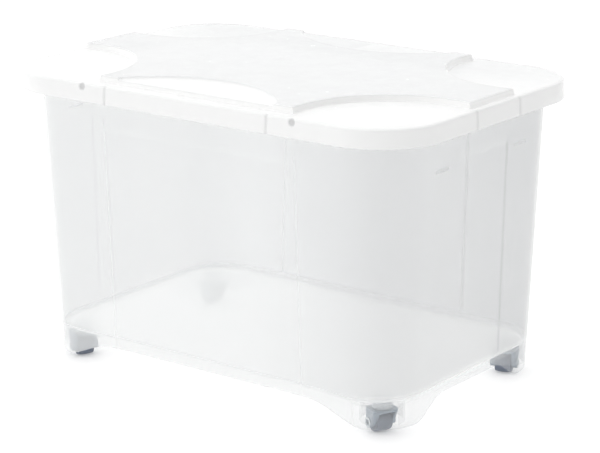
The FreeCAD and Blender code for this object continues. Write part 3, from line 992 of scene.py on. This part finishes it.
class BuildYokes(Operator):
    """Rounds the edges of the castor yokes and adds the raised rings round their axle holes"""

    bl_idname = "storagebox.build_yokes"
    bl_label = "Build castor yokes"

    def execute(self, context):
        sizes = context.scene.box_castors
        f = context.scene.box_finishes
        slate = worn_moulding("Slate nylon", f.castor_colour, (0.42, 0.46, 0.50), 0.34, 0.25)
        pale = worn_moulding("Pale slate nylon", f.hub_colour, (0.55, 0.58, 0.60), 0.36, 0.25)
        turn = np.linspace(0.0, 2.0 * np.pi, 48, endpoint=False)
        outer = sizes.ring_radius
        high = sizes.ring_height
        profile = sleeve(outer - sizes.ring_width, outer, -high, high, 0.25 * high)
        for corner in CORNERS:
            roll = [joint for joint in frame["joints"] if joint["name"] == corner + "_roll"][0]
            shape = bmesh.new()
            shape.from_mesh(frame["nodes"][corner + "_fork"].data)
            bmesh.ops.remove_doubles(shape, verts=shape.verts, dist=1e-6)
            bmesh.ops.dissolve_limit(shape, angle_limit=0.01, verts=shape.verts, edges=shape.edges)
            mesh = bpy.data.meshes.new(corner + "_yoke")
            shape.to_mesh(mesh)
            shape.free()
            smoothed(mesh, slate)
            yoke = bpy.data.objects.new(corner + "_yoke", mesh)
            context.scene.collection.objects.link(yoke)
            soften = yoke.modifiers.new("Rounded edges", "BEVEL")
            soften.width = sizes.edge_round
            soften.segments = 2
            soften.limit_method = "ANGLE"
            soften.angle_limit = np.radians(50.0)
            soften.harden_normals = True
            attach(yoke, corner + "_castor")
            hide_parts(corner + "_fork")
            rings = []
            for way in (-1.0, 1.0):
                axis = way * np.array(roll["axis"])
                place = np.array(roll["pos_m"]) + axis * sizes.hub_reach
                points, faces = turned_wall((0.0, 0.0), profile, turn, True)
                rings.append((stood_on(points, place, axis), faces))
            points, faces = joined(rings)
            new_piece(corner + "_hub_rings", points, faces, corner + "_castor",
                      pale)
        return {"FINISHED"}


class FinishCastors(Operator):
    """Gives the castors' rollers, stems, axles and bushes their finishes"""

    bl_idname = "storagebox.finish_castors"
    bl_label = "Finish castors"

    def execute(self, context):
        f = context.scene.box_finishes
        roller = worn_moulding("Dark blue tread", f.roller_colour, (0.20, 0.22, 0.26), 0.42, 0.35)
        bush = worn_moulding("Grey nylon", f.bush_colour, (0.50, 0.53, 0.56), 0.40, 0.2)
        steel = worn_moulding("Plated steel", f.steel_colour, (0.80, 0.80, 0.80), 0.24, 0.08, 1.0)
        finishes = {"roller": roller, "socket_bush": bush, "stem": steel, "axle": steel}
        for corner in CORNERS:
            for part, material in finishes.items():
                for slot in frame["nodes"][corner + "_" + part].material_slots:
                    slot.material = material
        return {"FINISHED"}


# ---- the stage


WHITE = (1.0, 1.0, 1.0, 1.0)
FLOOR_REACH = 9.0  # from the middle of the studio floor to its edges
CAMERA_PLACE = (1.634, -2.118, 0.934)
CAMERA_TURN = 37.41  # degrees round Z from the -Y side, towards +X
CAMERA_TILT = 15.9  # degrees downwards
CAMERA_ROLL = -0.24  # degrees
LIGHTS_AIM = (0.0, 0.0, 0.18)


def area_light(name, place, size, power):
    """A soft square white light at a place, turned to the middle of the box."""
    lamp = bpy.data.lights.new(name, "AREA")
    lamp.shape = "SQUARE"
    lamp.size = size
    lamp.energy = power
    light = bpy.data.objects.new(name, lamp)
    light.location = place
    aim = Vector(LIGHTS_AIM) - Vector(place)
    light.rotation_euler = aim.to_track_quat("-Z", "Y").to_euler()
    bpy.context.scene.collection.objects.link(light)


def white_surround(settings):
    """A white world that the camera sees plain, and whose light is stronger from the left."""
    world = bpy.data.worlds.new("White surround")
    world.use_nodes = True
    t = Sheet(world.node_tree)
    split = t.node("ShaderNodeSeparateXYZ")
    t.feed(split.inputs[0], t.node("ShaderNodeTexCoord").outputs["Generated"])
    swing = t.times(split.outputs["X"], -settings.surround_swing)
    lit = t.tree.nodes["Background"]
    t.fill(lit, Color=WHITE, Strength=t.plus(swing, settings.surround))
    seen = t.node("ShaderNodeBackground", Color=WHITE, Strength=1.0)
    either = t.node("ShaderNodeMixShader")
    t.feed(either.inputs[0], t.node("ShaderNodeLightPath").outputs["Is Camera Ray"])
    t.feed(either.inputs[1], lit.outputs[0])
    t.feed(either.inputs[2], seen.outputs[0])
    t.fill(t.tree.nodes["World Output"], Surface=either.outputs[0])
    return world


def studio_floor(finishes):
    """A wide pale floor, faintly mottled, that gives out a little light."""
    mesh = bpy.data.meshes.new("studio_floor")
    low, high = -FLOOR_REACH, FLOOR_REACH
    corners = [(low, low, 0.0), (high, low, 0.0), (high, high, 0.0), (low, high, 0.0)]
    mesh.from_pydata(corners, [], [(0, 1, 2, 3)])
    mesh.update()
    floor = bpy.data.objects.new("studio_floor", mesh)
    bpy.context.scene.collection.objects.link(floor)
    material, t, shader = principled("Studio floor")
    paler = tuple(min(1.0, value * 1.03) for value in finishes.floor_colour)
    mottle = t.noise(t.own_place(), 3.0, 2.0)
    t.fill(shader, Base_Color=t.mixed(mottle, tuple(finishes.floor_colour), paler),
           Roughness=0.7, Specular_IOR_Level=0.2,
           Emission_Color=WHITE, Emission_Strength=finishes.floor_glow)
    mesh.materials.append(material)


class BuildStage(Operator):
    """Sets the pale floor, the soft lights, the white surround and the camera"""

    bl_idname = "storagebox.build_stage"
    bl_label = "Build stage"

    def execute(self, context):
        scene = context.scene
        settings = scene.box_stage
        studio_floor(scene.box_finishes)
        scene.world = white_surround(settings)
        area_light("key_light", (-1.8, -1.9, 1.9), 1.8, settings.key_power)
        area_light("top_light", (0.0, 0.3, 2.6), 2.6, settings.top_power)

        lens = bpy.data.cameras.new("camera")
        lens.sensor_width = 36.0
        lens.lens = settings.focal_length
        lens.clip_end = 60.0
        camera = bpy.data.objects.new("camera", lens)
        turn = np.radians(CAMERA_TURN)
        tilt = np.radians(CAMERA_TILT)
        back = Vector((np.sin(turn) * np.cos(tilt), -np.cos(turn) * np.cos(tilt), np.sin(tilt)))
        facing = back.to_track_quat("Z", "Y").to_matrix().to_4x4()
        roll = Matrix.Rotation(np.radians(CAMERA_ROLL), 4, "Z")
        camera.matrix_world = Matrix.Translation(CAMERA_PLACE) @ facing @ roll
        scene.collection.objects.link(camera)
        scene.camera = camera
        scene.view_settings.view_transform = "Standard"
        scene.cycles.transparent_max_bounces = 32
        return {"FINISHED"}


# ---- the add-on


class StorageBoxPanel(Panel):
    """Lists the pieces and their settings"""

    bl_idname = "VIEW3D_PT_storage_box"
    bl_label = "Storage box"
    bl_space_type = "VIEW_3D"
    bl_region_type = "UI"
    bl_category = "Storage box"
    def draw(self, context):
        column = self.layout.column(align=True)
        for operator in OPERATORS:
            column.operator(operator.bl_idname)
        for name, kind in SETTINGS.items():
            group = self.layout.column(align=True)
            for value in kind.__annotations__:
                label = value.replace("_", " ").capitalize()
                group.prop(getattr(context.scene, name), value, text=label)


SETTINGS = {
    "box_tub": TubSizes,
    "box_lid": LidSizes,
    "box_castors": CastorSizes,
    "box_finishes": Finishes,
    "box_stage": StageSettings,
}
OPERATORS = (BuildStage, BuildTub, BuildHousings, BuildLid, BuildYokes, FinishCastors)
CLASSES = (*OPERATORS, StorageBoxPanel)


def register():
    """Registers the settings, the operators and the panel."""
    for name, settings in SETTINGS.items():
        bpy.utils.register_class(settings)
        setattr(bpy.types.Scene, name, PointerProperty(type=settings))
    for item in CLASSES:
        bpy.utils.register_class(item)


def unregister():
    """Removes the panel, the operators and the settings."""
    for item in reversed(CLASSES):
        bpy.utils.unregister_class(item)
    for name, settings in SETTINGS.items():
        delattr(bpy.types.Scene, name)
        bpy.utils.unregister_class(settings)


def main():
    """Builds every piece and the stage."""
    register()
    bpy.ops.storagebox.build_stage()
    bpy.ops.storagebox.build_tub()
    bpy.ops.storagebox.build_housings()
    bpy.ops.storagebox.build_lid()
    bpy.ops.storagebox.build_yokes()
    bpy.ops.storagebox.finish_castors()


if __name__ == "__main__":
    main()
